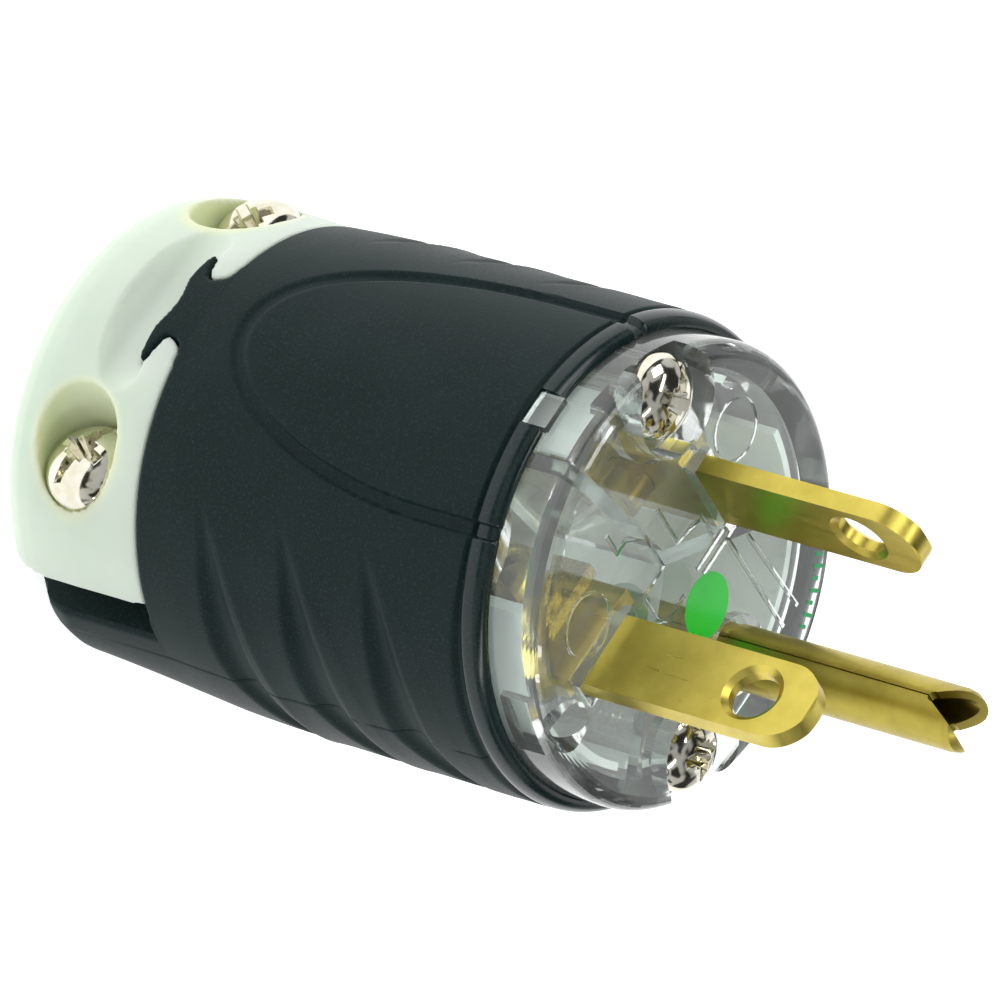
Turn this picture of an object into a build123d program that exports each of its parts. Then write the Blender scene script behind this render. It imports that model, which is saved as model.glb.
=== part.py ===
from build123d import *
import math
import os

# Straight blade plug, 20 A 250 V size, rewireable, with a screwed cord clamp.
# Origin: centre of the rear end face, on the axis of the round body.
# +Z runs along the blades, +Y points away from the ground pin. Millimetres.

# ---- overall -------------------------------------------------------------
FACE_Z = 51.0            # front face of the clear body
BLADE_OUT = 18.24        # blade length in front of the face
PIN_OUT = 21.4           # ground pin length in front of the face

# ---- blades and pin (standard sizes) -------------------------------------
BLADE_W = 6.35
BLADE_T = 1.52
BLADE_HOLE_R = 1.95
BLADE_HOLE_Z = FACE_Z + 12.9
V_X, V_Y = 6.35, 2.5     # line blade that stands along Y
H_X, H_Y = -9.12, 2.5    # line blade that stands along X
PIN_X, PIN_Y = 0.0, -9.39
PIN_R = 2.4
PIN_WALL = 0.8
VEE_Z = FACE_Z + 18.3    # bottom of the V in the pin's end
GND_Z = 40.4             # ground terminal screw

# ---- clear front body ----------------------------------------------------
CUP_R = 17.5
CUP_REAR = 36.2
CUP_WALL = 2.2
FACE_T = 2.8
SCREW_R = 14.15          # assembly screws from the axis
SCREW_A = 60.3           # first screw's angle; the other is opposite
SEAT_Z = 48.6            # seat of the assembly screw heads
POCKET_R = 4.27

# ---- black shell ---------------------------------------------------------
RIM_Z = 46.5             # front of the rim lip
GROOVE_Z = 44.7          # fine groove behind the lip
REAR_Z = 13.85           # rear edge of the round part
PANEL_TURN = -2.6        # the shell's tab and panel, turned from the blades
SOCKET_R = 17.62
CHAMBER_R = 16.4
CORD_R = 7.6

# ---- cord clamp ----------------------------------------------------------
CL_TURN = -3.2           # the clamp half sits askew by this angle about Z
CL_X, CL_Z = 11.4, 7.5   # clamp screws, in the turned clamp's frame
CL_SEAT_Y = 9.8
CL_POCKET_R = 3.65
CL_LOW_Y = 4.15          # underside of the white half, in the same frame
SADDLE_TOP_Y = 2.2       # top of the black half

os.makedirs("parts", exist_ok=True)


def rod(r, z0, z1, x=0.0, y=0.0):
    return Pos(x, y, (z0 + z1) / 2) * Cylinder(r, z1 - z0)


def box(x0, x1, y0, y1, z0, z1):
    return Pos((x0 + x1) / 2, (y0 + y1) / 2, (z0 + z1) / 2) * Box(x1 - x0, y1 - y0, z1 - z0)


def yrod(r, y0, y1, x, z):
    return Pos(x, (y0 + y1) / 2, z) * Rot(90, 0, 0) * Cylinder(r, y1 - y0)


def xrod(r, x0, x1, y, z):
    return Pos((x0 + x1) / 2, y, z) * Rot(0, 90, 0) * Cylinder(r, x1 - x0)


def turned(points):
    """Solid of revolution about Z from (radius, z) points."""
    with BuildPart() as b:
        with BuildSketch(Plane.XZ):
            with BuildLine():
                Polyline(*points, close=True)
            make_face()
        revolve(axis=Axis.Z)
    return b.part


def flat(points):
    return Face(Wire.make_polygon([(x, y, 0) for x, y in points], close=True))


def prism_y(points, y0, y1):
    """Prism along Y from (x, z) points."""
    s = extrude(flat(points), y1 - y0, dir=(0, 0, 1))
    return Pos(0, y0, 0) * Rot(90, 0, 0) * Pos(0, 0, -(y1 - y0)) * s


def polar(a, r):
    return r * math.cos(math.radians(a)), r * math.sin(math.radians(a))


def one(shape):
    """The largest solid of a result, as a plain solid."""
    solids = sorted(shape.solids(), key=lambda s: s.volume)
    return solids[-1]


SCREWS = [polar(SCREW_A, SCREW_R), polar(SCREW_A + 180, SCREW_R)]
CLAMP = Rot(0, 0, CL_TURN)

# half outline of the barbed tab, as (width, z)
TAB = [(4.6, 13.78), (3.7, 13.66), (3.2, 13.42), (2.9, 12.9), (2.72, 12.35), (2.85, 11.95), (3.4, 11.62), (4.3, 11.3), (4.95, 11.1),
       (5.08, 10.9), (4.8, 10.68), (4.0, 10.58), (3.0, 10.56), (2.3, 10.64), (1.5, 10.88), (0.7, 11.1), (0.0, 11.17)]


# ==========================================================================
# outer shell
# ==========================================================================
def body_r(z):
    """Outer radius of the round part of the shell."""
    pts = [(13.85, 18.08), (17.0, 18.28), (21.0, 18.45), (27.0, 18.56), (34.0, 18.64), (44.5, 18.70)]
    for (z0, r0), (z1, r1) in zip(pts, pts[1:]):
        if z <= z1:
            return r0 + (r1 - r0) * max(0.0, (z - z0)) / (z1 - z0)
    return pts[-1][1]


def shell_outline(offset=0.0):
    zs = [REAR_Z, 17.0, 21.0, 27.0, 34.0, 40.0, 44.5]
    return [(body_r(z) + offset, z) for z in zs]


def ellipse_section(a, b, z):
    return Pos(0, 0, z) * Ellipse(a, b)


def make_shell():
    # round part with the fine groove and the rounded lip
    profile = [(0, REAR_Z), (body_r(REAR_Z) - 0.35, REAR_Z)] + [(body_r(REAR_Z), REAR_Z + 0.35)]
    profile += shell_outline()[1:]
    profile += [(18.45, 44.6), (18.45, 44.85), (18.62, 44.95)]
    for i in range(1, 8):
        t = math.radians(90 * i / 7)
        profile.append((17.72 + 0.9 * math.cos(t) ** 0.9, 44.95 + (RIM_Z - 44.95) * math.sin(t)))
    profile += [(0, RIM_Z)]
    s = turned(profile)

    # saddle: lower half of the clamp, flatter underneath, with a chamfered rear end
    chamfer = loft([ellipse_section(14.6, 10.0, 0), ellipse_section(17.6, 12.4, 3.0)], ruled=True)
    chamfer = chamfer + loft([ellipse_section(17.6, 12.4, 3.0), ellipse_section(18.0, 12.9, 4.2)], ruled=True)
    run = loft(
        [
            ellipse_section(18.0, 12.9, 4.2),
            ellipse_section(18.05, 13.7, 7.0),
            ellipse_section(18.08, 15.6, 10.6),
            ellipse_section(18.10, 17.8, 14.2),
            ellipse_section(18.2, 18.2, 16.4),
        ]
    )
    saddle = (chamfer + run) & box(-25, 25, -25, SADDLE_TOP_Y, -1, 16.4)
    s = s + saddle

    # barbed tab over the cord clamp
    outline = [(4.6, 14.6)] + TAB + [(-x, z) for x, z in reversed(TAB[:-1])] + [(-4.6, 14.6)]
    tab = Rot(0, 0, PANEL_TURN) * prism_y(outline, 10, 20) & (rod(18.05, 10, 14.6) - rod(16.3, 9, 16))
    s = s + tab

    # cavities: socket of the clear body, wiring chamber, cord channel
    s = s - rod(SOCKET_R, CUP_REAR - 0.2, RIM_Z + 1)
    s = s - rod(CHAMBER_R, 16.2, CUP_REAR)
    s = s - rod(CORD_R, -1, 17)
    s = s - box(-25, 25, SADDLE_TOP_Y, 30, -1, 10.4)

    # posts for the assembly screws, joined to the chamber wall
    for x, y in SCREWS:
        post = rod(3.3, 16.2, 32.3, x, y) & rod(17.4, 15, 33)
        s = s + post
        s = s - rod(2.42, 24.2, 33, x, y)

    # notch in the lip for the clear body's key
    s = s - Rot(0, 0, 89.3) * box(15, 20, -1.55, 1.55, 44.6, 48)

    # captive nut pockets under the saddle, with the screw holes
    for sx in (-1, 1):
        x = sx * CL_X
        s = s - CLAMP * box(x - 3.05, x + 3.05, -20, -3.9, CL_Z - 3.05, CL_Z + 3.05)
        s = s - CLAMP * yrod(2.0, -5, 4, x, CL_Z)

    # oval panel on top: U-shaped groove that runs out through the lip
    def oval(a, c, z0=40.0):
        o = Pos(0, 0, 0) * Rot(90, 0, 0) * Pos(0, z0, 0) * extrude(Ellipse(a, c), 30, both=True)
        return (o & box(-20, 20, 5, 25, 0, z0)) + box(-a, a, 5, 25, z0, 60)

    ring = oval(10.35, 22.1) - oval(9.35, 21.1)
    floor = turned([(0, 10)] + [(0.001, 10)] + [(r - 0.38, z) for r, z in shell_outline()] + [(17.9, 60), (0, 60)])
    s = s - (Rot(0, 0, PANEL_TURN) * (ring & box(-20, 20, 5, 25, 10, 60)) - floor)

    # grip scoops: three leaf-shaped hollows on each side
    for side in (-1, 1):
        for zc in (22.4, 30.1, 37.7):
            scoop = Pos(-side * 2.30, 0, zc) * Rot(-8.2, 0, 0) * Torus(25.1, 4.9)
            s = s - scoop
    return one(s)


# ==========================================================================
# clear front body
# ==========================================================================
def make_face_body():
    rim = 1.5
    prof = [(0, CUP_REAR), (CUP_R, CUP_REAR), (CUP_R, FACE_Z - rim)]
    for i in range(1, 9):
        t = math.radians(90 * i / 8)
        prof.append((CUP_R - rim + rim * math.cos(t), FACE_Z - rim + rim * math.sin(t)))
    prof.append((0, FACE_Z))
    s = turned(prof)
    s = s - rod(CUP_R - CUP_WALL, CUP_REAR - 1, FACE_Z - FACE_T)

    # screw pockets with a wall round them, and the posts below
    for x, y in SCREWS:
        s = s + (rod(POCKET_R + 0.7, SEAT_Z - 1.4, FACE_Z - 1.5, x, y) & rod(CUP_R - 0.5, 30, 60))
        s = s + (rod(2.75, CUP_REAR, SEAT_Z, x, y) & rod(CUP_R - 0.5, 30, 60))
    for x, y in SCREWS:
        s = s - rod(POCKET_R, SEAT_Z, FACE_Z + 1, x, y)
        s = s - rod(1.95, CUP_REAR - 1, FACE_Z, x, y)

    # blade slots: close slot below a shallow wider mouth
    c = 0.06
    s = s - box(V_X - BLADE_T / 2 - c, V_X + BLADE_T / 2 + c, V_Y - BLADE_W / 2 - c, V_Y + BLADE_W / 2 + c, 40, 60)
    s = s - box(V_X - BLADE_T / 2 - 0.5, V_X + BLADE_T / 2 + 0.3, V_Y - BLADE_W / 2 - 0.45, V_Y + BLADE_W / 2 + 0.6, FACE_Z - 1.3, 60)
    s = s - box(H_X - BLADE_W / 2 - c, H_X + BLADE_W / 2 + c, H_Y - BLADE_T / 2 - c, H_Y + BLADE_T / 2 + c, 40, 60)
    s = s - box(H_X - BLADE_W / 2 - 0.7, H_X + BLADE_W / 2 + 0.4, H_Y - BLADE_T / 2 - 0.3, H_Y + BLADE_T / 2 + 0.65, FACE_Z - 1.3, 60)
    s = s - rod(PIN_R + 0.06, 40, 60, PIN_X, PIN_Y)
    s = s - rod(PIN_R + 0.75, FACE_Z - 1.3, 60, PIN_X, PIN_Y)

    # inner walls between the three terminals
    cx, cy = -0.2, 2.0
    for a in (100, -38, 222):
        wall = Pos(cx, cy, 0) * Rot(0, 0, a) * box(0, 17, -0.6, 0.6, 39.5, FACE_Z - FACE_T + 0.1)
        s = s + (wall & rod(CUP_R - CUP_WALL + 0.3, 30, 60))
    # keep the walls clear of the ground pin and the screw holes
    s = s - rod(PIN_R + 0.5, 39, FACE_Z - FACE_T, PIN_X, PIN_Y)
    for x, y in SCREWS:
        s = s - rod(1.95, CUP_REAR - 1, FACE_Z, x, y)

    # side windows, open to the rear, that let a driver reach the terminal screws
    s = s - xrod(4.1, 12, 20, V_Y, 42) - box(12, 20, V_Y - 4.1, V_Y + 4.1, 30, 42)
    s = s - yrod(4.1, 9.5, 20, -8.4, 42) - box(-12.5, -4.3, 9.5, 20, 30, 42)
    s = s - yrod(4.1, -20, -12.8, 0, GND_Z) - box(-4.1, 4.1, -20, -12.8, 30, GND_Z)

    # alignment key in the shell's rim notch, with a low pad in front of it
    s = s + Rot(0, 0, 89.3) * box(16, 18.2, -1.4, 1.4, 44.8, 46.9)
    s = s + (Rot(0, 0, 91.8) * box(16, 18, -2.3, 2.3, 46.7, 50.2) & rod(CUP_R + 0.16, 40, 60))
    # pry notch: a step in the side and a scoop in the face
    s = s - Rot(0, 0, 168.5) * box(16.5, 19, -2.6, 2.6, 46.9, 49.4)
    s = s - Rot(0, 0, 172) * Pos(15.9, 0, FACE_Z + 0.2) * Rot(0, 40, 0) * Cylinder(1.75, 3.2)

    # fine raised lines and round marks left by the mould, on the face
    def line(x0, y0, x1, y1, w=0.34, d=0.22):
        ln = math.hypot(x1 - x0, y1 - y0)
        a = math.degrees(math.atan2(y1 - y0, x1 - x0))
        return Pos((x0 + x1) / 2, (y0 + y1) / 2, FACE_Z) * Rot(0, 0, a) * Box(ln + w, w, 2 * d)

    path = [(-4.2, 10.5), (-4.2, 8.6), (-3.0, 8.6), (-1.45, 6.9), (-1.45, 3.4), (-4.25, 3.3), (-4.25, 0.4), (-3.4, -0.5), (-1.3, -0.5)]
    for p, q in zip(path, path[1:]):
        s = s - line(*p, *q)
    for p, q in (((0.7, 7.3), (0.7, 3.5)), ((3.65, 2.8), (3.65, 0.4)), ((0.7, 3.5), (3.65, 2.8)), ((1.1, -0.1), (5.5, -0.1)),
                 ((1.4, -1.0), (5.6, -1.0)), ((4.6, -1.0), (4.8, -12.0)), ((6.3, -3.0), (6.8, -12.0))):
        s = s - line(*p, *q)
    s = s - (rod(2.5, FACE_Z - 0.18, FACE_Z + 1, 10.1, 5.0) - rod(2.3, FACE_Z - 1, FACE_Z + 1, 10.1, 5.0))
    s = s - (rod(2.55, FACE_Z - 0.18, FACE_Z + 1, -9.6, 6.9) - rod(2.35, FACE_Z - 1, FACE_Z + 1, -9.6, 6.9))
    return one(s)


# ==========================================================================
# inner carrier
# ==========================================================================
def make_carrier():
    s = rod(16.2, 32.5, 36.0)
    # walls between the terminals, up to the clear body's walls
    cx, cy = -0.2, 2.0
    for a in (100, -38, 222):
        wall = Pos(cx, cy, 0) * Rot(0, 0, a) * box(0, 14.6, -1.0, 1.0, 35.5, 39.3)
        s = s + (wall & rod(16.0, 30, 60))
    s = s - (rod(20, 36.0, 45) - rod(14.9, 35.9, 46))
    # skirt that lines the clear cup, with gaps for its walls and for a driver
    skirt = rod(14.8, 35.0, 47.8) - rod(14.2, 34.0, 49)
    for a in (100, -38, 222):
        skirt = skirt - Pos(cx, cy, 0) * Rot(0, 0, a) * box(0, 20, -1.2, 1.2, 38.4, 49)
    skirt = skirt - box(9, 20, V_Y - 4.1, V_Y + 4.1, 36.6, 49)
    skirt = skirt - box(-12.5, -3.4, 9.5, 20, 36.6, 49)
    skirt = skirt - box(-4.1, 4.1, -20, -12.8, 36.6, 49)
    for x, y in SCREWS:
        skirt = skirt - rod(POCKET_R + 0.85, 46.9, 49, x, y) - rod(3.0, 30, 49, x, y)
    s = s + skirt
    for x, y in SCREWS:
        s = s - rod(3.0, 35.9, 49, x, y)
        s = s - rod(2.5, 30, 45, x, y)    # open to the edge, round the screw
    # wire holes and the slots for the strip ends
    for x, y in ((10.6, 2.5), (-8.4, 7.2)):
        s = s - rod(2.6, 30, 45, x, y)
    s = s - rod(2.2, 30, 45, 0, -13.4)
    s = s - box(V_X - 0.9, V_X + 0.9, -2.2, 7.2, 35.0, 40)
    s = s - box(-13.2, -3.6, H_Y - 0.9, H_Y + 0.9, 35.0, 40)
    s = s - box(-3.7, 3.7, PIN_Y - PIN_R - 0.15, PIN_Y - PIN_R + PIN_WALL + 0.15, 35.0, 40)
    return one(s)


# ==========================================================================
# blades, pin and their terminals
# ==========================================================================
def blade_blank():
    """Blade in its own frame: width along X, thickness along Y, face at z = 0."""
    hw, ht = BLADE_W / 2, BLADE_T / 2
    tip = BLADE_OUT
    b = box(-hw, hw, -ht, ht, -8, tip - hw) + (yrod(hw, -ht, ht, 0, tip - hw))
    # bevels that thin the tip on both faces
    for sy in (-1, 1):
        cut = Pos(0, sy * (ht + 0.62), tip + 0.35) * Rot(sy * 24, 0, 0) * Box(10, 1.6, 4.2)
        b = b - cut
    b = b - yrod(BLADE_HOLE_R, -2, 2, 0, BLADE_HOLE_Z - FACE_Z)
    # countersunk hole mouths
    for sy in (-1, 1):
        cone = Pos(0, sy * (ht - 0.16), BLADE_HOLE_Z - FACE_Z) * Rot(-sy * 90, 0, 0) * Cone(BLADE_HOLE_R, BLADE_HOLE_R + 0.5, 0.36)
        b = b - cone
    return b


def make_v_blade():
    b = Pos(V_X, V_Y, FACE_Z) * Rot(0, 0, 90) * blade_blank()
    b = b + box(V_X - BLADE_T / 2, V_X + BLADE_T / 2, -1.65, 6.2, 35.3, 48.05)
    b = b - xrod(2.03, 4, 9, V_Y, 42)
    return one(b)


def make_h_blade():
    b = Pos(H_X, H_Y, FACE_Z) * blade_blank()
    b = b + box(-12.9, -3.9, H_Y - BLADE_T / 2, H_Y + BLADE_T / 2, 35.3, 48.05)
    b = b - yrod(2.03, 0, 5, -8.4, 42)
    return one(b)


def make_pin():
    tube = rod(PIN_R, FACE_Z + 0.1, FACE_Z + PIN_OUT) + rod(PIN_R - 0.12, 44.9, FACE_Z + 0.4) - rod(PIN_R - PIN_WALL, 44, FACE_Z + PIN_OUT + 1)
    # rounded nose
    nose = turned([(0, 44)] + [(PIN_R, 44)] + [(PIN_R, FACE_Z + PIN_OUT - 1.1), (PIN_R - 0.12, FACE_Z + PIN_OUT - 0.5), (PIN_R - 0.45, FACE_Z + PIN_OUT), (0, FACE_Z + PIN_OUT)])
    tube = tube & nose
    # seam of the rolled strip, facing the centre, and the V-shaped end
    tube = tube - box(-0.05, 0.05, 0, PIN_R + 1, 40, 80)
    tube = tube - prism_y([(-2.45, VEE_Z + 4.3), (2.45, VEE_Z + 4.3), (0.3, VEE_Z + 0.45), (-0.3, VEE_Z + 0.45)], -6, 6)
    tube = tube - yrod(0.42, -6, 6, 0, VEE_Z + 0.6)
    p = Pos(PIN_X, PIN_Y, 0) * tube
    # collar that stops the pin against the face, and the terminal strap
    p = p + (rod(2.85, 47.0, 48.1, PIN_X, PIN_Y) - rod(PIN_R - PIN_WALL, 46, 49, PIN_X, PIN_Y))
    low = PIN_Y - PIN_R
    p = p + box(-1.9, 1.9, low, low + PIN_WALL, 44.0, 47.0)
    p = p + box(-3.5, 3.5, low, low + PIN_WALL, 35.3, 44.8)
    p = p - yrod(2.03, low - 2, low + 1.5, 0, GND_Z)
    return one(p)


# ==========================================================================
# screws, plates, nuts and inserts
# ==========================================================================
def pan_screw(head_r, head_h, shank_r, length, slot_w, dome=True):
    """Head seat at z = 0, head above, shank below. Combination slot and cross."""
    pts = [(0, 0), (head_r, 0), (head_r, head_h * 0.22)]
    for i in range(1, 8):
        t = math.radians(90 * i / 7)
        pts.append((head_r * math.cos(t), head_h * 0.22 + head_h * 0.78 * math.sin(t)))
    head = turned(pts)
    s = head + rod(shank_r, -length, 0.01)
    top = head_h
    s = s - box(-head_r, head_r, -slot_w / 2, slot_w / 2, top - head_h * 0.42, top + 1)
    s = s - box(-slot_w / 2, slot_w / 2, -head_r * 0.62, head_r * 0.62, top - head_h * 0.62, top + 1)
    s = s - box(-head_r * 0.62, head_r * 0.62, -slot_w / 2, slot_w / 2, top - head_h * 0.62, top + 1)
    return s


def assembly_screw(i):
    x, y = SCREWS[i]
    return one(Pos(x, y, SEAT_Z) * Rot(0, 0, 25 + 40 * i) * pan_screw(2.95, 2.3, 1.75, 21.9, 0.8))


def insert(i):
    x, y = SCREWS[i]
    return one(rod(2.4, 24.4, 32.3, x, y) - rod(1.78, 24, 33, x, y))


def clamp_screw(sx):
    s = pan_screw(3.4, 3.0, 1.75, 16.6, 0.9)
    return one(CLAMP * Pos(sx * CL_X, CL_SEAT_Y, CL_Z) * Rot(-90, 0, 0) * Rot(0, 0, 35 * sx + 20) * s)


def clamp_nut(sx):
    x = sx * CL_X
    n = box(x - 2.9, x + 2.9, -6.4, -3.95, CL_Z - 2.9, CL_Z + 2.9) - yrod(1.78, -8, -3, x, CL_Z)
    return one(CLAMP * n)


def terminal_screw():
    return pan_screw(3.5, 2.2, 1.95, 6.6, 0.9)


TERM = {
    "vertical": Pos(9.75, V_Y, 42) * Rot(0, 90, 0),
    "horizontal": Pos(-8.4, 5.95, 42) * Rot(-90, 0, 0),
    "ground": Pos(0, PIN_Y - PIN_R - 1.5, GND_Z) * Rot(90, 0, 0),
}


def plate():
    """Pressure plate under a terminal screw's head: dished, with turned-down sides."""
    p = box(-4.2, 4.2, -4.2, 4.2, -1.15, 0)
    p = p - box(-4.5, 4.5, -2.9, 2.9, -1.2, -0.85)
    p = p - rod(2.1, -2, 1)
    return p


def make_clamp():
    # white half: turned outer form with a domed rear end, cut to the upper part
    pts = [(0, 0), (15.2, 0), (16.4, 0.3), (17.2, 1.1), (17.7, 2.2), (18.0, 3.6), (18.15, 5.5), (18.2, 7.5), (18.15, 10.0), (18.05, 12.5), (18.0, 13.7), (0, 13.7)]
    s = turned(pts) & CLAMP * box(-25, 25, CL_LOW_Y, 25, -1, 20)
    s = s - rod(CORD_R, -1, 20)
    # notch for the shell's tab, with a lower ledge round it
    half = [(4.8, 15.0), (4.7, 13.6), (3.75, 13.55), (3.35, 13.3), (3.05, 12.85), (2.87, 12.4), (3.0, 12.1), (3.5, 11.78), (4.4, 11.46), (5.1, 11.26),
            (5.25, 10.9), (4.9, 10.55), (4.0, 10.4), (3.0, 10.38), (2.2, 10.44), (1.4, 10.68), (0.7, 10.88), (0.0, 10.95)]
    outline = half + [(-x, z) for x, z in reversed(half[:-1])]
    s = s - (Rot(0, 0, PANEL_TURN) * prism_y(outline, 10, 25) - rod(16.2, 5, 16))
    trough = Pos(0, 17.9 + 3.6 - 1.5, 9.6) * Rot(0, 90, 0) * Cylinder(3.6, 30)
    s = s - Rot(0, 0, PANEL_TURN) * (trough & box(-8, 8, 12, 30, 5, 11.2))
    # screw holes and head pockets
    for sx in (-1, 1):
        s = s - CLAMP * yrod(2.1, 0, 20, sx * CL_X, CL_Z)
        s = s - CLAMP * yrod(CL_POCKET_R, CL_SEAT_Y, 25, sx * CL_X, CL_Z)
    return one(s)


def make_dust_shield():
    # seated ring with a thinner membrane, clear of the cord hole
    s = rod(10.8, 16.2, 18.2) - rod(8.4, 16.0, 16.9) - rod(8.4, 17.9, 19)
    s = s - rod(2.0, 13, 20)
    for a in (0, 60, 120):
        s = s - Rot(0, 0, a) * box(-5.6, 5.6, -0.15, 0.15, 13, 20)
    return one(s)


def make_nodes():
    nodes = {}
    nodes["outer_shell"] = make_shell()
    nodes["cord_clamp"] = make_clamp()
    nodes["face_body"] = make_face_body()
    nodes["contact_carrier"] = make_carrier()
    nodes["line_blade_vertical"] = make_v_blade()
    nodes["line_blade_horizontal"] = make_h_blade()
    nodes["ground_pin"] = make_pin()
    for name, place in TERM.items():
        nodes["terminal_screw_" + name] = one(place * Rot(0, 0, {"vertical": 20, "horizontal": 65, "ground": 10}[name]) * terminal_screw())
        nodes["pressure_plate_" + name] = one(place * plate())
    nodes["assembly_screw_upper"] = assembly_screw(0)
    nodes["assembly_screw_lower"] = assembly_screw(1)
    nodes["insert_upper"] = insert(0)
    nodes["insert_lower"] = insert(1)
    nodes["clamp_screw_left"] = clamp_screw(-1)
    nodes["clamp_screw_right"] = clamp_screw(1)
    nodes["clamp_nut_left"] = clamp_nut(-1)
    nodes["clamp_nut_right"] = clamp_nut(1)
    nodes["dust_shield"] = make_dust_shield()
    return nodes


for node, shape in make_nodes().items():
    export_step(shape, "parts/%s.step" % node)
    print(node, round(shape.volume, 1))
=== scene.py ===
import math

import bmesh
import bpy
import numpy as np
from mathutils import Matrix, Vector


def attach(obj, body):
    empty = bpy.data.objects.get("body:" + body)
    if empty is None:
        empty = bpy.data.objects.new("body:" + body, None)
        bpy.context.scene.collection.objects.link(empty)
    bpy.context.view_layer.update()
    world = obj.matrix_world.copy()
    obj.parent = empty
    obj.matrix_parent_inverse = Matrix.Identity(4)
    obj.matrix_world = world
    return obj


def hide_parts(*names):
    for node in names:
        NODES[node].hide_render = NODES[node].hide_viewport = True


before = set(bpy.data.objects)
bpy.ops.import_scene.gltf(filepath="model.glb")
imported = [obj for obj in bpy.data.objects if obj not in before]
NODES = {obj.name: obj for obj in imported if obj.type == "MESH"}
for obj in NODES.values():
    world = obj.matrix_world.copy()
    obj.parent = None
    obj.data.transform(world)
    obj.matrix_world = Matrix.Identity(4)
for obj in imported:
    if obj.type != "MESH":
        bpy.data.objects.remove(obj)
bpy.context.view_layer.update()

MM = 0.001
scene = bpy.context.scene

# ---- sizes shared with the CAD, in millimetres ---------------------------
FACE_Z = 51.0
RIM_Z = 46.5
REAR_Z = 13.85
SADDLE_TOP = 2.2
CORD_R = 7.6
PANEL_TURN = -2.6
CL_TURN, CL_X, CL_Z, CL_SEAT_Y = -3.2, 11.4, 7.5, 9.8
SEAT_Z = 48.6
SCREWS = [(14.15 * math.cos(math.radians(a)), 14.15 * math.sin(math.radians(a))) for a in (60.3, 240.3)]


# ==========================================================================
# camera, floor, lights
# ==========================================================================
def make_camera():
    cam = bpy.data.cameras.new("camera")
    cam.lens = 500.4
    cam.sensor_width = 36.0
    cam.clip_start = 0.05
    cam.clip_end = 20.0
    ob = bpy.data.objects.new("camera", cam)
    x = Vector((0.5076, -0.3696, 0.7783)).normalized()
    z = Vector((-0.3813, 0.7137, 0.5876)).normalized()
    y = z.cross(x).normalized()
    x = y.cross(z)
    m = Matrix((x, y, z)).transposed().to_4x4()
    m.translation = Vector((-0.38454, 0.72343, 0.62769))
    ob.matrix_world = m
    scene.collection.objects.link(ob)
    scene.camera = ob


def look_at(ob, target, up=Vector((0, 0, 1))):
    d = (Vector(target) - ob.location).normalized()
    if abs(d.dot(up)) > 0.98:
        up = Vector((0, 1, 0))
    x = d.cross(up).normalized()
    y = x.cross(d)
    ob.rotation_euler = Matrix((x, y, -d)).transposed().to_euler()


def area(name, place, size, power, colour=(1, 1, 1), target=(0, 0, 0.035), size_y=None):
    li = bpy.data.lights.new(name, "AREA")
    li.shape = "RECTANGLE"
    li.size = size
    li.size_y = size_y or size
    li.energy = power
    li.color = colour
    ob = bpy.data.objects.new(name, li)
    ob.location = place
    look_at(ob, target)
    scene.collection.objects.link(ob)
    return ob


def make_studio():
    # plain pale floor
    me = bpy.data.meshes.new("floor")
    s = 4.0
    me.from_pydata([(-s, -s, -0.00005), (s, -s, -0.00005), (s, s, -0.00005), (-s, s, -0.00005)], [], [(0, 1, 2, 3)])
    floor = bpy.data.objects.new("floor", me)
    scene.collection.objects.link(floor)
    mat = bpy.data.materials.new("floor_white")
    mat.use_nodes = True
    p = mat.node_tree.nodes["Principled BSDF"]
    p.inputs["Base Color"].default_value = (0.86, 0.86, 0.86, 1)
    p.inputs["Roughness"].default_value = 0.9
    p.inputs["Specular IOR Level"].default_value = 0.1
    p.inputs["Emission Color"].default_value = (1, 1, 1, 1)
    p.inputs["Emission Strength"].default_value = 0.80
    me.materials.append(mat)

    # soft boxes: the key comes from the picture's upper side
    area("key", (0.42, 0.40, 0.42), 0.34, 1.3)
    area("edge", (-0.56, -0.06, 0.56), 0.045, 1.0, size_y=0.55)
    area("top", (0.34, 0.10, 0.80), 0.07, 0.9, size_y=0.45)
    area("low", (0.30, -0.62, 0.30), 0.50, 0.5)

    w = bpy.data.worlds.new("studio")
    scene.world = w
    w.use_nodes = True
    nt = w.node_tree
    bg = nt.nodes["Background"]
    tc = nt.nodes.new("ShaderNodeTexCoord")
    sep = nt.nodes.new("ShaderNodeSeparateXYZ")
    ramp = nt.nodes.new("ShaderNodeValToRGB")
    nt.links.new(tc.outputs["Generated"], sep.inputs[0])
    nt.links.new(sep.outputs["Z"], ramp.inputs[0])
    e = ramp.color_ramp.elements
    e[0].position, e[0].color = 0.02, (1.0, 1.0, 1.0, 1)
    e[1].position, e[1].color = 0.95, (0.60, 0.61, 0.62, 1)
    mid = ramp.color_ramp.elements.new(0.35)
    mid.color = (0.80, 0.81, 0.82, 1)
    # dark flags between the white panels of the room
    flags = nt.nodes.new("ShaderNodeTexNoise")
    flags.inputs["Scale"].default_value = 1.9
    flags.inputs["Detail"].default_value = 1.0
    nt.links.new(tc.outputs["Generated"], flags.inputs["Vector"])
    steps = nt.nodes.new("ShaderNodeMapRange")
    for k, v in (("From Min", 0.45), ("From Max", 0.53), ("To Min", 0.06), ("To Max", 1.0)):
        steps.inputs[k].default_value = v
    nt.links.new(flags.outputs["Fac"], steps.inputs["Value"])
    mul = nt.nodes.new("ShaderNodeMix")
    mul.data_type = "RGBA"
    mul.blend_type = "MULTIPLY"
    mul.inputs[0].default_value = 1.0
    nt.links.new(ramp.outputs["Color"], mul.inputs[6])
    nt.links.new(steps.outputs["Result"], mul.inputs[7])
    nt.links.new(mul.outputs[2], bg.inputs["Color"])
    bg.inputs["Strength"].default_value = 0.75


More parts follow.
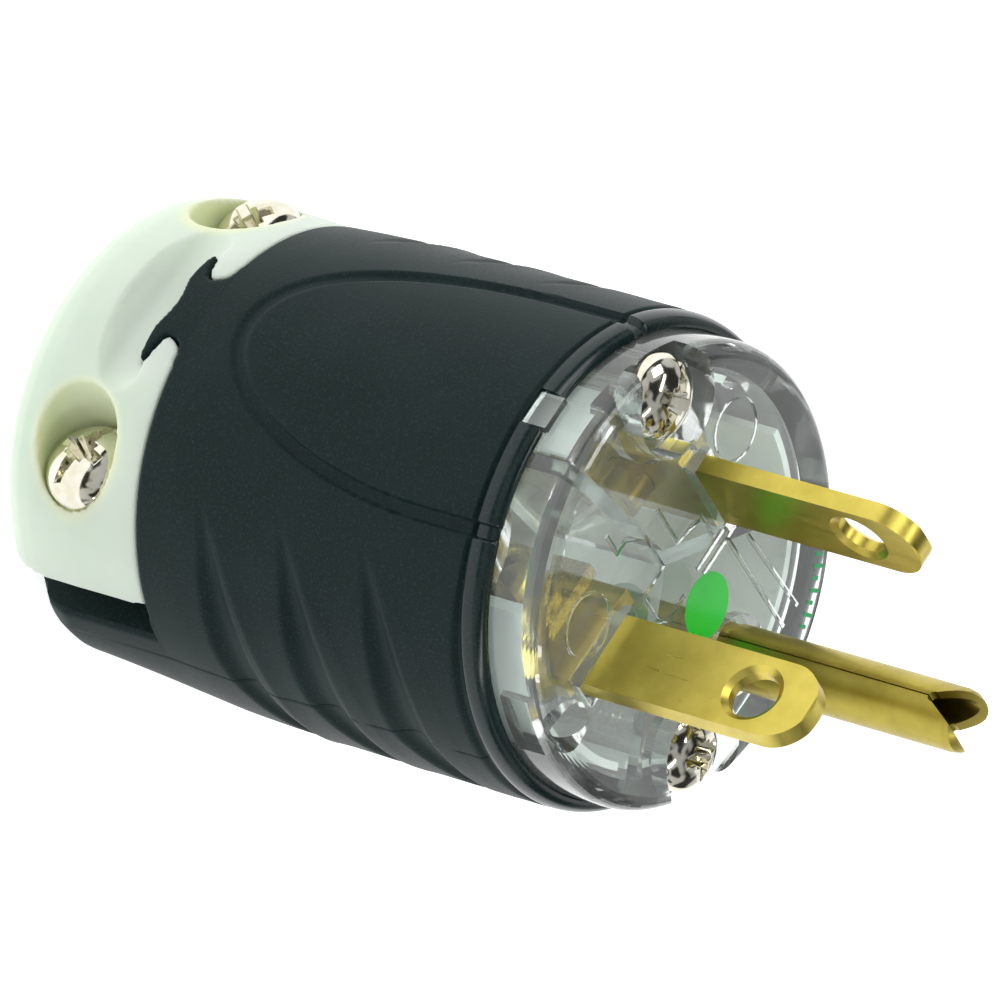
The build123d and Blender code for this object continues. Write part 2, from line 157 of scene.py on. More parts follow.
# ==========================================================================
# materials
# ==========================================================================
class Mat:
    """A node material with a Principled shader and a few short cuts."""

    def __init__(self, name, base, rough, metal=0.0, spec=0.5):
        self.m = bpy.data.materials.new(name)
        self.m.use_nodes = True
        self.nt = self.m.node_tree
        self.p = self.nt.nodes["Principled BSDF"]
        self.p.inputs["Base Color"].default_value = (*base, 1)
        self.p.inputs["Roughness"].default_value = rough
        self.p.inputs["Metallic"].default_value = metal
        self.p.inputs["Specular IOR Level"].default_value = spec
        self.tc = self.nt.nodes.new("ShaderNodeTexCoord")

    def node(self, kind, **props):
        n = self.nt.nodes.new(kind)
        for k, v in props.items():
            setattr(n, k, v)
        return n

    def link(self, a, b):
        self.nt.links.new(a, b)

    def scaled(self, sx, sy, sz):
        mp = self.node("ShaderNodeMapping")
        mp.inputs["Scale"].default_value = (sx, sy, sz)
        self.link(self.tc.outputs["Object"], mp.inputs["Vector"])
        return mp.outputs["Vector"]

    def noise(self, vec, scale, detail=3.0, rough=0.5):
        n = self.node("ShaderNodeTexNoise")
        n.inputs["Scale"].default_value = scale
        n.inputs["Detail"].default_value = detail
        n.inputs["Roughness"].default_value = rough
        self.link(vec, n.inputs["Vector"])
        return n.outputs["Fac"]

    def ramp(self, fac, stops):
        r = self.node("ShaderNodeValToRGB")
        el = r.color_ramp.elements
        el[0].position, el[0].color = stops[0][0], (*stops[0][1], 1)
        el[1].position, el[1].color = stops[-1][0], (*stops[-1][1], 1)
        for pos, col in stops[1:-1]:
            el.new(pos).color = (*col, 1)
        self.link(fac, r.inputs[0])
        return r.outputs["Color"]

    def span(self, fac, a, b, lo=0.0, hi=1.0):
        r = self.node("ShaderNodeMapRange")
        r.inputs["From Min"].default_value = a
        r.inputs["From Max"].default_value = b
        r.inputs["To Min"].default_value = lo
        r.inputs["To Max"].default_value = hi
        self.link(fac, r.inputs["Value"])
        return r.outputs["Result"]

    def mix(self, fac, a, b):
        """Mix of two colours; a and b are sockets or tuples."""
        n = self.node("ShaderNodeMix", data_type="RGBA")
        if isinstance(fac, float):
            n.inputs[0].default_value = fac
        else:
            self.link(fac, n.inputs[0])
        for s, v in ((n.inputs[6], a), (n.inputs[7], b)):
            if isinstance(v, tuple):
                s.default_value = (*v, 1)
            else:
                self.link(v, s)
        return n.outputs[2]

    def bump(self, height, distance, strength=1.0, normal=None):
        b = self.node("ShaderNodeBump")
        b.inputs["Strength"].default_value = strength
        b.inputs["Distance"].default_value = distance
        self.link(height, b.inputs["Height"])
        if normal is not None:
            self.link(normal, b.inputs["Normal"])
        return b.outputs["Normal"]


def shell_material(name, rough_lo, rough_hi, bump_d, spec=0.10):
    m = Mat(name, (0.012, 0.022, 0.021), 0.5, 0.0, spec)
    v = m.scaled(1, 1, 1)
    grain = m.noise(v, 5200, 2.0, 0.6)
    cloud = m.noise(v, 160, 3.0)
    body = m.mix(m.span(cloud, 0.3, 0.7), (0.0052, 0.0155, 0.0145), (0.0074, 0.0195, 0.0185))
    m.link(m.mix(m.span(grain, 0.52, 0.75), body, (0.017, 0.036, 0.035)), m.p.inputs["Base Color"])
    m.link(m.span(grain, 0.3, 0.7, rough_lo, rough_hi), m.p.inputs["Roughness"])
    m.link(m.bump(grain, bump_d), m.p.inputs["Normal"])
    return m.m


def clamp_material():
    m = Mat("clamp_nylon", (0.80, 0.88, 0.79), 0.34)
    v = m.scaled(1, 1, 1)
    cloud = m.noise(v, 90, 3.0)
    body = m.mix(m.span(cloud, 0.3, 0.7), (0.60, 0.715, 0.59), (0.70, 0.79, 0.68))
    # painted shade: yellower nylon colour round the screw pockets and the notch, standing in for the shade in these
    # recesses
    sep = m.node("ShaderNodeSeparateXYZ")
    m.link(m.tc.outputs["Object"], sep.inputs[0])
    off = m.node("ShaderNodeMath", operation="SUBTRACT")
    off.inputs[1].default_value = 0.00058
    m.link(sep.outputs["X"], off.inputs[0])
    ab = m.node("ShaderNodeMath", operation="ABSOLUTE")
    m.link(off.outputs[0], ab.inputs[0])
    comb = m.node("ShaderNodeCombineXYZ")
    m.link(ab.outputs[0], comb.inputs["X"])
    m.link(sep.outputs["Z"], comb.inputs["Z"])
    dist = m.node("ShaderNodeVectorMath", operation="DISTANCE")
    m.link(comb.outputs[0], dist.inputs[0])
    dist.inputs[1].default_value = (0.0114, 0, 0.0075)
    near = m.span(dist.outputs["Value"], 0.0034, 0.0045, 1.0, 0.0)
    # painted shade: the yellow-green shade colour is mixed into the nylon near the clamp screw pockets
    pocket_painted_shade = m.mix(near, body, (0.78, 0.83, 0.50))
    m.link(pocket_painted_shade, m.p.inputs["Base Color"])
    m.p.inputs["Subsurface Weight"].default_value = 0.55
    m.p.inputs["Subsurface Radius"].default_value = (1.0, 1.0, 0.75)
    m.p.inputs["Subsurface Scale"].default_value = 0.0022
    m.link(m.span(m.noise(v, 700, 2.0), 0.3, 0.7, 0.28, 0.38), m.p.inputs["Roughness"])
    return m.m


def brass_material(name, stretch=(1, 1, 0.08), tone=1.0, rough=(0.26, 0.38), bump_d=0.000002, fine=2600):
    """Satin brass with fine drawn lines along one direction."""
    m = Mat(name, (0.60, 0.47, 0.17), 0.28, 1.0)
    lines = m.noise(m.scaled(*stretch), fine, 3.0, 0.6)
    patch = m.noise(m.scaled(1, 1, 1), 210, 4.0, 0.6)
    a = tuple(tone * c for c in (0.50, 0.405, 0.072))
    b = tuple(tone * c for c in (0.70, 0.575, 0.120))
    m.link(m.mix(m.span(patch, 0.3, 0.7), a, b), m.p.inputs["Base Color"])
    m.link(m.span(lines, 0.25, 0.75, *rough), m.p.inputs["Roughness"])
    m.link(m.bump(lines, bump_d), m.p.inputs["Normal"])
    return m.m


def nickel_material():
    m = Mat("screw_nickel", (0.74, 0.73, 0.68), 0.09, 1.0)
    v = m.scaled(1, 1, 1)
    patch = m.noise(v, 900, 3.0)
    m.link(m.mix(m.span(patch, 0.35, 0.7), (0.66, 0.63, 0.50), (0.80, 0.78, 0.70)), m.p.inputs["Base Color"])
    m.link(m.span(patch, 0.3, 0.7, 0.05, 0.13), m.p.inputs["Roughness"])
    m.link(m.bump(m.noise(v, 330, 1.0), 0.00003), m.p.inputs["Normal"])
    return m.m


def clear_material():
    """Clear polycarbonate that lets lamps through."""
    m = Mat("face_clear", (0.93, 0.965, 0.95), 0.02)
    v = m.scaled(1, 1, 1)
    m.p.inputs["Transmission Weight"].default_value = 0.945
    m.p.inputs["IOR"].default_value = 1.25
    m.p.inputs["Coat Weight"].default_value = 0.7
    m.p.inputs["Coat Roughness"].default_value = 0.02
    wave = m.noise(v, 170, 2.0)
    m.link(m.bump(wave, 0.00004), m.p.inputs["Normal"])
    m.link(m.span(m.noise(v, 400, 2.0), 0.3, 0.7, 0.0, 0.035), m.p.inputs["Roughness"])
    out = m.nt.nodes["Material Output"]
    lp = m.node("ShaderNodeLightPath")
    tr = m.node("ShaderNodeBsdfTransparent")
    tr.inputs["Color"].default_value = (0.93, 0.955, 0.945, 1)
    mx = m.node("ShaderNodeMixShader")
    m.link(lp.outputs["Is Shadow Ray"], mx.inputs[0])
    m.link(m.p.outputs[0], mx.inputs[1])
    m.link(tr.outputs[0], mx.inputs[2])
    m.link(mx.outputs[0], out.inputs["Surface"])
    return m.m


def plain_material(name, a, b, rough, metal=0.0, scale=300, bump_d=0.00002, spec=0.5):
    m = Mat(name, a, rough, metal, spec)
    v = m.scaled(1, 1, 1)
    n = m.noise(v, scale, 3.0)
    m.link(m.mix(m.span(n, 0.3, 0.7), a, b), m.p.inputs["Base Color"])
    m.link(m.span(n, 0.3, 0.7, rough * 0.85, min(1.0, rough * 1.15)), m.p.inputs["Roughness"])
    m.link(m.bump(m.noise(v, scale * 8, 2.0), bump_d), m.p.inputs["Normal"])
    return m.m


# ==========================================================================
# mesh helpers
# ==========================================================================
def add_object(name, verts, faces):
    me = bpy.data.meshes.new(name)
    me.from_pydata([tuple(c * MM for c in v) for v in verts], [], faces)
    me.validate()
    ob = bpy.data.objects.new(name, me)
    scene.collection.objects.link(ob)
    return ob


def revolve(name, prof, n=192):
    """Closed solid of revolution from (r, z) points that start and end on the axis."""
    verts, faces = [], []
    ring = []
    for r, z in prof:
        if r < 1e-6:
            ring.append([len(verts)])
            verts.append((0.0, 0.0, z))
        else:
            ring.append(list(range(len(verts), len(verts) + n)))
            for i in range(n):
                a = 2 * math.pi * i / n
                verts.append((r * math.cos(a), r * math.sin(a), z))
    for p, q in zip(ring, ring[1:]):
        for i in range(n):
            j = (i + 1) % n
            if len(p) == 1 and len(q) > 1:
                faces.append((p[0], q[j], q[i]))
            elif len(q) == 1 and len(p) > 1:
                faces.append((p[i], p[j], q[0]))
            elif len(p) > 1:
                faces.append((p[i], p[j], q[j], q[i]))
    ob = add_object(name, verts, faces)
    fix_normals(ob)
    return ob


def fix_normals(ob):
    bm = bmesh.new()
    bm.from_mesh(ob.data)
    bmesh.ops.recalc_face_normals(bm, faces=bm.faces)
    bm.to_mesh(ob.data)
    bm.free()


def prism(name, pts, axis, lo, hi):
    """Closed prism: pts in the plane across axis. For axis y, pts are (x, z); for z, (x, y)."""
    def put(p, h):
        return (p[0], h, p[1]) if axis == "y" else (p[0], p[1], h)
    n = len(pts)
    verts = [put(p, lo) for p in pts] + [put(p, hi) for p in pts]
    faces = [tuple(range(n)), tuple(range(2 * n - 1, n - 1, -1))]
    for i in range(n):
        j = (i + 1) % n
        faces.append((i, j, n + j, n + i))
    ob = add_object(name, verts, faces)
    fix_normals(ob)
    return ob


def circle(r, cx, cy, n=48):
    return [(cx + r * math.cos(2 * math.pi * i / n), cy + r * math.sin(2 * math.pi * i / n)) for i in range(n)]


def rect(x0, x1, y0, y1):
    return [(x0, y0), (x1, y0), (x1, y1), (x0, y1)]


def apply_modifiers(ob):
    dg = bpy.context.evaluated_depsgraph_get()
    me = bpy.data.meshes.new_from_object(ob.evaluated_get(dg))
    ob.modifiers.clear()
    old = ob.data
    ob.data = me
    bpy.data.meshes.remove(old)


def cut(ob, cutters, operation="DIFFERENCE"):
    for c in cutters:
        m = ob.modifiers.new("cut", "BOOLEAN")
        m.operation = operation
        m.solver = "MANIFOLD"
        m.object = c
        apply_modifiers(ob)
        bpy.data.objects.remove(c)


def smooth(ob, angle=32):
    me = ob.data
    me.shade_smooth()
    me.set_sharp_from_angle(angle=math.radians(angle))


# ==========================================================================
# outer shell
# ==========================================================================
def table(points, step=0.05, soften=0.8):
    """A smooth curve through (x, y) points, as a dense table."""
    xs = np.array([p[0] for p in points], float)
    ys = np.array([p[1] for p in points], float)
    x = np.arange(xs[0] - 4 * soften, xs[-1] + 4 * soften, step)
    y = np.interp(x, xs, ys)
    lo, hi = (ys[1] - ys[0]) / (xs[1] - xs[0]), (ys[-1] - ys[-2]) / (xs[-1] - xs[-2])
    y = np.where(x < xs[0], ys[0] + (x - xs[0]) * lo, y)
    y = np.where(x > xs[-1], ys[-1] + (x - xs[-1]) * hi, y)
    k = max(1, int(soften / step))
    w = np.hanning(2 * k + 1)
    w /= w.sum()
    y = np.convolve(np.pad(y, k, mode="edge"), w, mode="valid")
    return x, y


def read(tab, x):
    return np.interp(x, tab[0], tab[1])


ROUND = table([(13.85, 18.08), (17.0, 18.28), (21.0, 18.45), (27.0, 18.56), (34.0, 18.64), (44.5, 18.68), (47, 18.68)], soften=1.5)
REAR_A = table([(0.0, 14.6), (3.0, 17.6), (4.2, 18.02), (5.6, 18.35)], soften=0.3)
REAR_B = table([(0.0, 10.0), (3.0, 12.4), (4.2, 12.95), (5.6, 13.6)], soften=0.3)
LOW_A = table([(2.6, 17.98), (6.6, 18.05), (10.6, 18.08), (14.2, 18.10), (17.0, 18.28), (21.0, 18.45), (27.0, 18.56)], soften=1.5)
LOW_B = table([(2.6, 12.5), (6.6, 13.7), (10.6, 15.7), (14.2, 17.75), (17.0, 18.32), (21.0, 18.45), (27.0, 18.56)], soften=2.0)

# grips: for each hollow, the crisp crest and the soft edge, as z over the angle
GRIPS = [
    ([(127, 19.6), (139, 21.8), (152, 23.2), (160, 23.85), (168, 24.25), (176.5, 24.6), (196, 24.9), (226, 24.6)],
     [(127, 19.4), (142, 20.0), (155, 19.85), (169, 19.8), (178, 20.1), (193, 21.6), (226, 24.2)]),
    ([(127, 27.2), (138, 29.3), (151, 30.9), (163, 32.1), (177, 32.5), (196, 32.8), (226, 32.5)],
     [(127, 27.0), (142, 27.8), (157, 27.6), (171, 27.6), (180, 27.8), (193, 29.3), (226, 32.1)]),
    ([(127, 35.0), (139, 37.3), (153, 39.05), (166, 40.0), (180, 40.25), (196, 40.5), (226, 40.2)],
     [(127, 34.8), (143, 35.7), (158, 35.6), (172, 35.4), (181, 35.4), (193, 36.9), (226, 39.8)]),
]
GRIPS = [(table(a, 0.5, 5.0), table(b, 0.5, 5.0)) for a, b in GRIPS]


def smoothstep(x, a, b):
    t = np.clip((x - a) / (b - a), 0, 1)
    return t * t * (3 - 2 * t)


def grip_height(th, z):
    """Height of the grips over the round body; th in degrees, 0 to 360."""
    phi = np.where((th > 90) & (th < 270), th, np.mod(180 - th, 360))
    h = np.zeros_like(z)
    amp = smoothstep(phi, 129, 160) * (1 - smoothstep(phi, 196, 224))
    for crest, soft in GRIPS:
        zc, zs = read(crest, phi), read(soft, phi)
        w = np.maximum(zc - zs, 0.6)
        t = (z - zs) / w
        # soft slope down, floor, steeper rise to the ridge, then a slow fall in front of it
        down = -0.62 * np.sin(np.clip(t / 0.80, 0, 1) * math.pi) ** 1.2
        ridge = 0.16 * np.clip((t - 0.72) / 0.28, 0, 1) ** 1.6
        after = 0.16 * np.clip(1 - (z - zc) / 2.2, 0, 1) ** 1.7
        v = np.where(t < 0, 0, np.where(t < 1, down + ridge, after))
        h += amp * v
    return h


def panel_depth(th, z):
    s = (np.mod(th + 180, 360) - 180 - 90 - PANEL_TURN) * math.pi / 180 * 18.55
    q = np.sqrt((s / 10.7) ** 2 + (np.minimum(z - 40, 0) / 21.8) ** 2) + 1e-9
    g = np.sqrt((s / 10.7 ** 2) ** 2 + (np.minimum(z - 40, 0) / 21.8 ** 2) ** 2) / q + 1e-9
    d = (q - 1) / g
    nose = smoothstep(z, 18.5, 27)
    depth = 0.22 + 0.20 * nose
    wall = 0.42 - 0.12 * nose
    inside = 1 - smoothstep(np.abs(d), 0.70 - wall, 0.70)
    return -depth * inside - 0.10 * (1 - smoothstep(d, -0.75, -0.35)) * smoothstep(z, 19, 23)


TAB = [(4.6, 13.78), (3.7, 13.66), (3.2, 13.42), (2.9, 12.9), (2.72, 12.35), (2.85, 11.95), (3.4, 11.62), (4.3, 11.3), (4.95, 11.1),
       (5.08, 10.9), (4.8, 10.68), (4.0, 10.58), (3.0, 10.56), (2.3, 10.64), (1.5, 10.88), (0.7, 11.1), (0.0, 11.17)]


def tab_outline():
    """Smooth outline of the barbed tab, in (x, z), from one side of its root to the other."""
    right = [(5.6, 13.85)] + TAB
    pts = right + [(-x, z) for x, z in reversed(right[:-1])]
    # round the corners by two passes of corner cutting
    for _ in range(2):
        new = [pts[0]]
        for a, b in zip(pts, pts[1:]):
            new.append((a[0] * 0.75 + b[0] * 0.25, a[1] * 0.75 + b[1] * 0.25))
            new.append((a[0] * 0.25 + b[0] * 0.75, a[1] * 0.25 + b[1] * 0.75))
        new.append(pts[-1])
        pts = new
    return pts


def outline_distance(x, z, pts):
    """Distance from (x, z) to the open polyline pts."""
    best = np.full(x.shape, 99.0)
    for (x0, z0), (x1, z1) in zip(pts, pts[1:]):
        dx, dz = x1 - x0, z1 - z0
        t = np.clip(((x - x0) * dx + (z - z0) * dz) / (dx * dx + dz * dz + 1e-12), 0, 1)
        best = np.minimum(best, np.hypot(x - x0 - t * dx, z - z0 - t * dz))
    return best


def edge_drop(d, r):
    """How far a rounded edge of radius r drops at distance d inside the edge."""
    q = np.clip((r - d) / r, 0, 1)
    return r * (1 - np.sqrt(np.maximum(1 - q * q, 0)))


def angles():
    out, a = [], 0.0
    while a < 360 - 1e-6:
        out.append(a)
        if 52 <= a < 74 or 106 <= a < 128:
            a += 0.4
        elif 74 <= a < 106:
            a += 0.32
        elif a < 52 or a < 180:
            a += 0.65
        elif a < 232 or a > 308:
            a += 0.9
        else:
            a += 1.5
    out = np.array(out)
    # exact columns on the parting line
    for exact in (180.0,):
        out[np.argmin(abs(out - exact))] = exact
    extra = [179.72, 180.28, 0.28, 359.72]
    out = np.array(sorted(set(np.round(np.concatenate([out, extra]), 4))))
    return out


def heights():
    z = [0.0, 0.12, 0.3, 0.55, 0.85]
    z += list(np.arange(1.2, 10.6, 0.36))
    z += list(np.arange(10.6, 15.0, 0.115))
    z += list(np.arange(15.0, 44.2, 0.245))
    z += list(np.arange(44.2, 46.5, 0.085)) + [46.5]
    return np.array(z)


LIP = [(44.2, 0.0), (44.38, -0.02), (44.5, -0.13), (44.62, -0.22), (44.8, -0.22), (44.9, -0.12), (45.0, -0.03), (45.15, 0.0)]


def make_shell():
    th = angles()
    zs = heights()
    T, Z = np.meshgrid(th, zs)
    rad = np.radians(T)
    c, s = np.cos(rad), np.sin(rad)
    up = s >= 0
    R0 = read(ROUND, Z)
    a = np.where(up, read(ROUND, np.maximum(Z, 14.2)), read(LOW_A, Z))
    b = np.where(up, read(ROUND, np.maximum(Z, 14.2)), read(LOW_B, Z))
    R = 1 / np.sqrt((c / a) ** 2 + (s / b) ** 2)
    R = np.where(Z > 24, R0, R)
    # rear chamfer of the saddle
    Rc = 1 / np.sqrt((c / read(REAR_A, Z)) ** 2 + (s / read(REAR_B, Z)) ** 2)
    R = np.where(Z < 5.2, np.minimum(R, Rc), R)
    R = R + grip_height(T, Z) + panel_depth(T, Z)
    # parting line along both sides
    for mid in (180.0, 0.0):
        off = np.abs(np.mod(T - mid + 180, 360) - 180)
        R = R - 0.055 * (off < 0.1) * (Z < 44.3)
    # fine groove behind the lip, wider at the sides, then the rounded lip
    side = smoothstep(np.abs(T - 90), 30, 75) * (1 - smoothstep(np.abs(T - 90), 98, 125))
    g = read(table(LIP, 0.02, 0.06), Z)
    zz = (Z - 44.62 + 0.28 * side) / (0.17 + 0.26 * side)
    groove = -0.30 * np.exp(-np.abs(zz) ** 2.6)
    fade = 1 - 0.75 * smoothstep(np.abs(T - 90), 112, 150)
    R = np.where(Z > 43.0, R + groove * fade, R)
    t = np.clip((Z - 44.95) / (RIM_Z - 44.95), 0, 1)
    R = np.where(Z > 44.95, R - 0.02 - 0.93 * (1 - np.sqrt(np.maximum(1 - t ** 2.2, 0))), R)
    # rounded edges along the rear edge, round the tab and along the saddle
    outline = tab_outline()
    line = [(-25.0, REAR_Z)] + [(x, z) for x, z in reversed(outline)] + [(25.0, REAR_Z)]
    arc = (T - 90 - PANEL_TURN) * math.pi / 180 * 18.05
    near = up & (Z < 16)
    d = outline_distance(arc, Z, line)
    R = np.where(near, R - edge_drop(d, 0.30), R)
    lowz = (~up | (R * s < SADDLE_TOP + 0.001)) & (Z < 13.9)
    dy = np.maximum(SADDLE_TOP - R * s, 0)
    R = np.where(lowz, R - edge_drop(dy, 0.55), R)
    R = np.where(~up | (R * s < SADDLE_TOP), R - edge_drop(Z, 0.35), R)
    R = np.minimum(R, 18.69)
    n, m = len(zs), len(th)
    X, Y = R * c, R * s
    verts = np.stack([X, Y, Z], -1).reshape(-1, 3).tolist()
    faces = []
    for i in range(n - 1):
        for j in range(m):
            k = (j + 1) % m
            faces.append((i * m + j, i * m + k, (i + 1) * m + k, (i + 1) * m + j))
    b0 = len(verts)
    verts.append((0, 0, 0.0))
    verts.append((0, 0, RIM_Z))
    for j in range(m):
        k = (j + 1) % m
        faces.append((b0, k, j))
        faces.append((b0 + 1, (n - 1) * m + j, (n - 1) * m + k))
    ob = add_object("shell_body", verts, faces)
    fix_normals(ob)

    # cavities
    hollow = revolve("c_hollow", [(0, -1), (CORD_R, -1), (CORD_R, 16.2), (16.4, 16.2), (16.4, 36.0), (17.62, 36.0), (17.62, 47.5), (0, 47.5)])
    for x, y in SCREWS:
        cut(hollow, [prism("c_post", circle(3.3, x, y), "z", 10.0, 32.3)])
    # space of the white clamp half, round the tab
    space = prism("c_space", rect(-25, 25, -1, REAR_Z), "y", SADDLE_TOP, 25)
    tab = prism("c_tab", [(5.6, 17)] + outline + [(-5.6, 17)], "y", 8, 30)
    tab.data.transform(Matrix.Rotation(math.radians(PANEL_TURN), 4, "Z"))
    cut(space, [tab])
    core = prism("c_core", circle(16.3, 0, 0, 128), "z", -1.5, REAR_Z)
    top = prism("c_top", rect(-30, 30, SADDLE_TOP, 30), "z", -3, 60)
    cut(core, [top], "INTERSECT")
    cutters = [hollow, space, core]
    for x, y in SCREWS:
        cutters.append(prism("c_insert", circle(2.42, x, y), "z", 24.2, 33.5))
    for sx in (-1, 1):
        x = sx * CL_X
        nut = prism("c_nut", rect(x - 3.05, x + 3.05, CL_Z - 3.05, CL_Z + 3.05), "y", -22, -3.9)
        hole = prism("c_hole", circle(2.0, x, CL_Z), "y", -5, 4)
        for c in (nut, hole):
            c.data.transform(Matrix.Rotation(math.radians(CL_TURN), 4, "Z"))
            cutters.append(c)
    notch = prism("c_notch", rect(15.2, 22, -1.55, 1.55), "z", 44.6, 48)
    notch.data.transform(Matrix.Rotation(math.radians(89.3), 4, "Z"))
    cutters.append(notch)
    cut(ob, cutters)
    smooth(ob, 38)
    ob.data.materials.clear()
    ob.data.materials.append(shell_material("shell_nylon", 0.40, 0.52, 0.000014))
    ob.data.materials.append(shell_material("shell_lip_gloss", 0.17, 0.24, 0.000004, 0.36))
    co = np.zeros(len(ob.data.polygons) * 3)
    ob.data.polygons.foreach_get("center", co)
    co = co.reshape(-1, 3) / MM
    rr = np.hypot(co[:, 0], co[:, 1])
    idx = ((co[:, 2] > 44.72) & (rr > 17.0)).astype(np.int32)
    ob.data.polygons.foreach_set("material_index", idx)
    ob.data.update()
    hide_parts("outer_shell")
    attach(ob, "root")
    return ob


# ==========================================================================
# white clamp half
# ==========================================================================
def make_clamp():
    src = NODES["cord_clamp"]
    ob = bpy.data.objects.new("clamp_half", src.data.copy())
    scene.collection.objects.link(ob)
    bm = bmesh.new()
    bm.from_mesh(ob.data)
    bmesh.ops.remove_doubles(bm, verts=bm.verts, dist=1e-7)
    bm.to_mesh(ob.data)
    bm.free()
    m = ob.modifiers.new("skin", "REMESH")
    m.mode = "VOXEL"
    m.voxel_size = 0.00019
    m.adaptivity = 0.0
    s = ob.modifiers.new("soft", "SMOOTH")
    s.factor = 0.5
    s.iterations = 4
    apply_modifiers(ob)
    ob.data.shade_smooth()
    ob.data.materials.clear()
    ob.data.materials.append(clamp_material())
    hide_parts("cord_clamp")
    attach(ob, "root")
    return ob


# ==========================================================================
# nickel screws
# ==========================================================================
def tapered(name, half_l, half_w, top, bottom, k):
    """Recess wing: a block that narrows towards its bottom."""
    v = []
    for z, f in ((top, 1.0), (bottom, k)):
        v += [(-half_l * f, -half_w * f, z), (half_l * f, -half_w * f, z), (half_l * f, half_w * f, z), (-half_l * f, half_w * f, z)]
    ob = add_object(name, v, [(0, 1, 2, 3), (7, 6, 5, 4), (0, 4, 5, 1), (1, 5, 6, 2), (2, 6, 7, 3), (3, 7, 4, 0)])
    fix_normals(ob)
    return ob


def make_screw(name, node, head_r, head_h, shank_r, length, place, material):
    prof = [(0, -length), (shank_r - 0.3, -length), (shank_r, -length + 0.4)]
    # thread: fine rounded turns as rings
    z = -length + 0.6
    while z < -5.0:
        prof += [(shank_r - 0.22, z), (shank_r, z + 0.25), (shank_r, z + 0.32)]
        z += 0.6
    prof += [(shank_r - 0.05, -4.6), (shank_r - 0.05, 0.0), (head_r - 0.12, 0.0), (head_r - 0.02, 0.08)]
    n = 22
    for i in range(n + 1):
        t = math.pi / 2 * i / n
        prof.append((head_r * math.cos(t) ** 0.92 if i < n else 0.0, head_h * 0.2 + head_h * 0.8 * math.sin(t)))
    ob = revolve(name, prof, 96)
    r = head_r
    cutters = [
        tapered("c1", r * 1.15, 0.36, head_h + 0.3, head_h * 0.62, 1.0),
        tapered("c2", r * 0.60, 0.52, head_h + 0.3, head_h * 0.30, 0.62),
        tapered("c3", 0.52, r * 0.60, head_h + 0.3, head_h * 0.30, 0.62),
        tapered("c4", r * 0.30, r * 0.30, head_h + 0.3, head_h * 0.42, 0.5),
    ]
    cut(ob, cutters)
    bev = ob.modifiers.new("edge", "BEVEL")
    bev.width = 0.00008
    bev.segments = 2
    bev.limit_method = "ANGLE"
    bev.angle_limit = math.radians(35)
    bev.use_clamp_overlap = True
    apply_modifiers(ob)
    ob.data.transform(place)
    smooth(ob, 40)
    ob.data.materials.clear()
    ob.data.materials.append(material)
    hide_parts(node)
    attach(ob, "root")
    return ob


def make_screws(material):
    for i, (x, y) in enumerate(SCREWS):
        m = Matrix.Translation((x * MM, y * MM, SEAT_Z * MM)) @ Matrix.Rotation(math.radians(25 + 40 * i), 4, "Z")
        name = ("upper", "lower")[i]
        make_screw("nickel_face_" + name, "assembly_screw_" + name, 3.25, 2.5, 1.75, 21.9, m, material)
    for sx, name in ((-1, "left"), (1, "right")):
        m = Matrix.Rotation(math.radians(CL_TURN), 4, "Z") @ Matrix.Translation((sx * CL_X * MM, CL_SEAT_Y * MM, CL_Z * MM))
        m = m @ Matrix.Rotation(math.radians(-90), 4, "X") @ Matrix.Rotation(math.radians(35 * sx + 20), 4, "Z")
        make_screw("nickel_clamp_" + name, "clamp_screw_" + name, 3.58, 3.3, 1.75, 16.6, m, material)


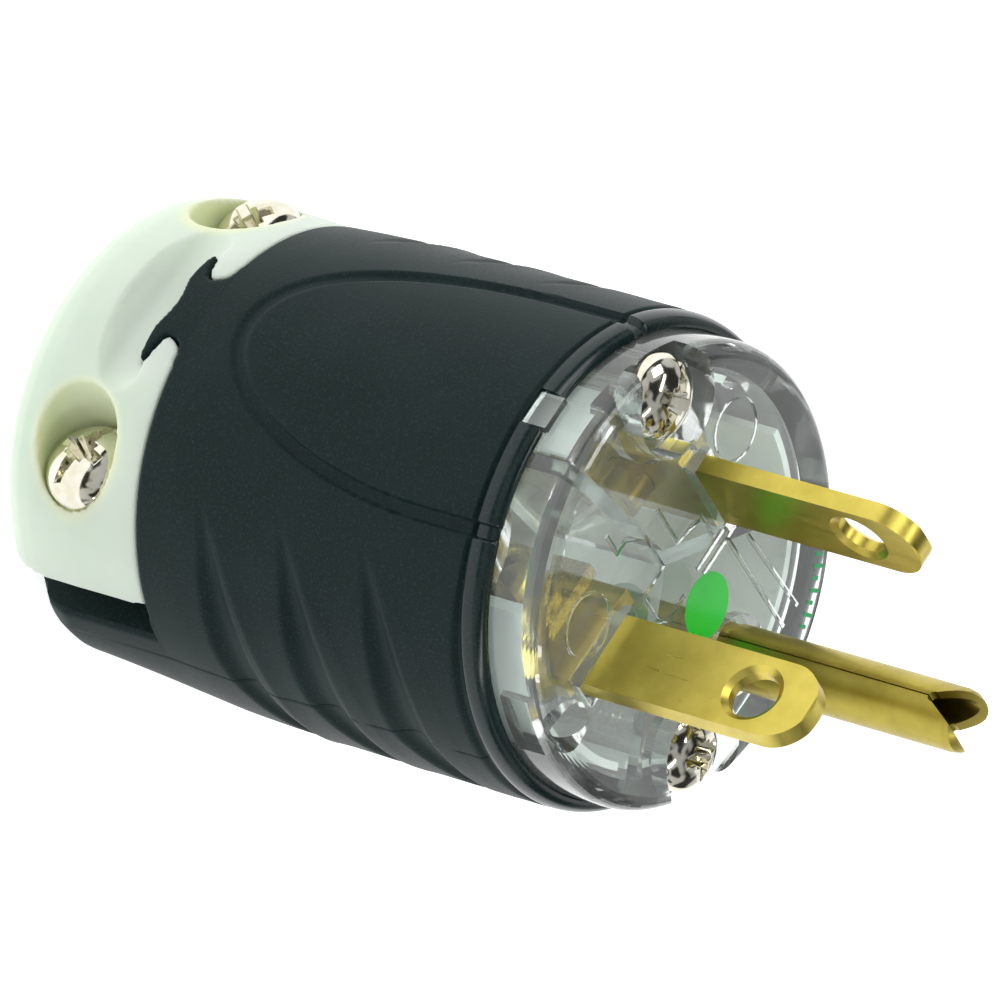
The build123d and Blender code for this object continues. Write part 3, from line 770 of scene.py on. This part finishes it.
# ==========================================================================
# prints on the face
# ==========================================================================
def make_print():
    """Green dot and a row of short green tick marks near the rim: a thin raised print."""
    verts, faces = [], []

    def patch(pts, z0, z1):
        b = len(verts)
        n = len(pts)
        verts.extend([(x, y, z0) for x, y in pts] + [(x, y, z1) for x, y in pts])
        faces.append(tuple(range(b + n - 1, b - 1, -1)))
        faces.append(tuple(range(b + n, b + 2 * n)))
        for i in range(n):
            j = (i + 1) % n
            faces.append((b + i, b + j, b + n + j, b + n + i))

    n = 64
    patch([(2.55 * math.cos(2 * math.pi * i / n), -3.25 + 2.55 * math.sin(2 * math.pi * i / n)) for i in range(n)], FACE_Z - 0.005, FACE_Z + 0.03)
    dot = add_object("green_dot", verts, faces)
    fix_normals(dot)
    smooth(dot)
    dot.data.materials.append(plain_material("dot_green", (0.028, 0.86, 0.065), (0.036, 0.95, 0.08), 0.3, 0.0, 250, 0.000006))
    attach(dot, "root")

    verts, faces = [], []
    for a0, count in ((-66, 8),):
        for i in range(count):
            a = math.radians(a0 + i * 3.4)
            ca, sa = math.cos(a), math.sin(a)
            half = 0.16
            r0, r1 = 15.0, (16.1 if i % 2 else 15.7)
            pts = []
            for rr, tt in ((r0, -half), (r1, -half), (r1, half), (r0, half)):
                pts.append((rr * ca - tt * sa, rr * sa + tt * ca))
            patch(pts, FACE_Z - 0.005, FACE_Z + 0.025)
    ticks = add_object("green_ticks", verts, faces)
    fix_normals(ticks)
    smooth(ticks)
    ticks.data.materials.append(plain_material("tick_green", (0.02, 0.42, 0.12), (0.03, 0.5, 0.15), 0.35, 0.0, 250, 0.000006))
    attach(ticks, "root")


# ==========================================================================
# all together
# ==========================================================================
def paint(node, material, angle=30):
    ob = NODES[node]
    ob.data.materials.clear()
    ob.data.materials.append(material)
    ob.data.shade_smooth()
    ob.data.set_sharp_from_angle(angle=math.radians(angle))


def main():
    make_camera()
    make_studio()
    make_shell()
    make_clamp()
    make_print()
    paint("face_body", clear_material(), 25)
    blade = brass_material("blade_brass")
    paint("line_blade_vertical", blade)
    paint("line_blade_horizontal", blade)
    paint("ground_pin", brass_material("pin_brass", (1, 1, 6.0), 0.70, (0.30, 0.44), 0.000004, 900))
    term = brass_material("terminal_brass", (1, 1, 1), 0.75, (0.16, 0.3), 0.000002)
    plate = brass_material("plate_brass", (1, 1, 1), 0.7, (0.2, 0.34), 0.000002)
    ins = brass_material("insert_brass", (1, 1, 1), 0.7, (0.2, 0.34), 0.000002)
    for name in ("vertical", "horizontal", "ground"):
        paint("pressure_plate_" + name, plate)
    paint("terminal_screw_vertical", term)
    paint("terminal_screw_horizontal", term)
    paint("terminal_screw_ground", plain_material("terminal_green", (0.02, 0.25, 0.07), (0.03, 0.33, 0.1), 0.3, 0.6, 600))
    make_screws(nickel_material())
    for name in ("insert_upper", "insert_lower"):
        paint(name, ins)
    nut = plain_material("nut_steel", (0.55, 0.55, 0.52), (0.66, 0.66, 0.64), 0.3, 1.0, 500)
    for name in ("clamp_nut_left", "clamp_nut_right"):
        paint(name, nut)
    paint("contact_carrier", plain_material("carrier_nylon", (0.70, 0.78, 0.74), (0.78, 0.85, 0.81), 0.42, 0.0, 400))
    paint("dust_shield", plain_material("shield_rubber", (0.02, 0.02, 0.021), (0.028, 0.028, 0.03), 0.65, 0.0, 400))


main()
scene.view_settings.view_transform = "Standard"
scene.view_settings.look = "None"
bpy.context.view_layer.update()
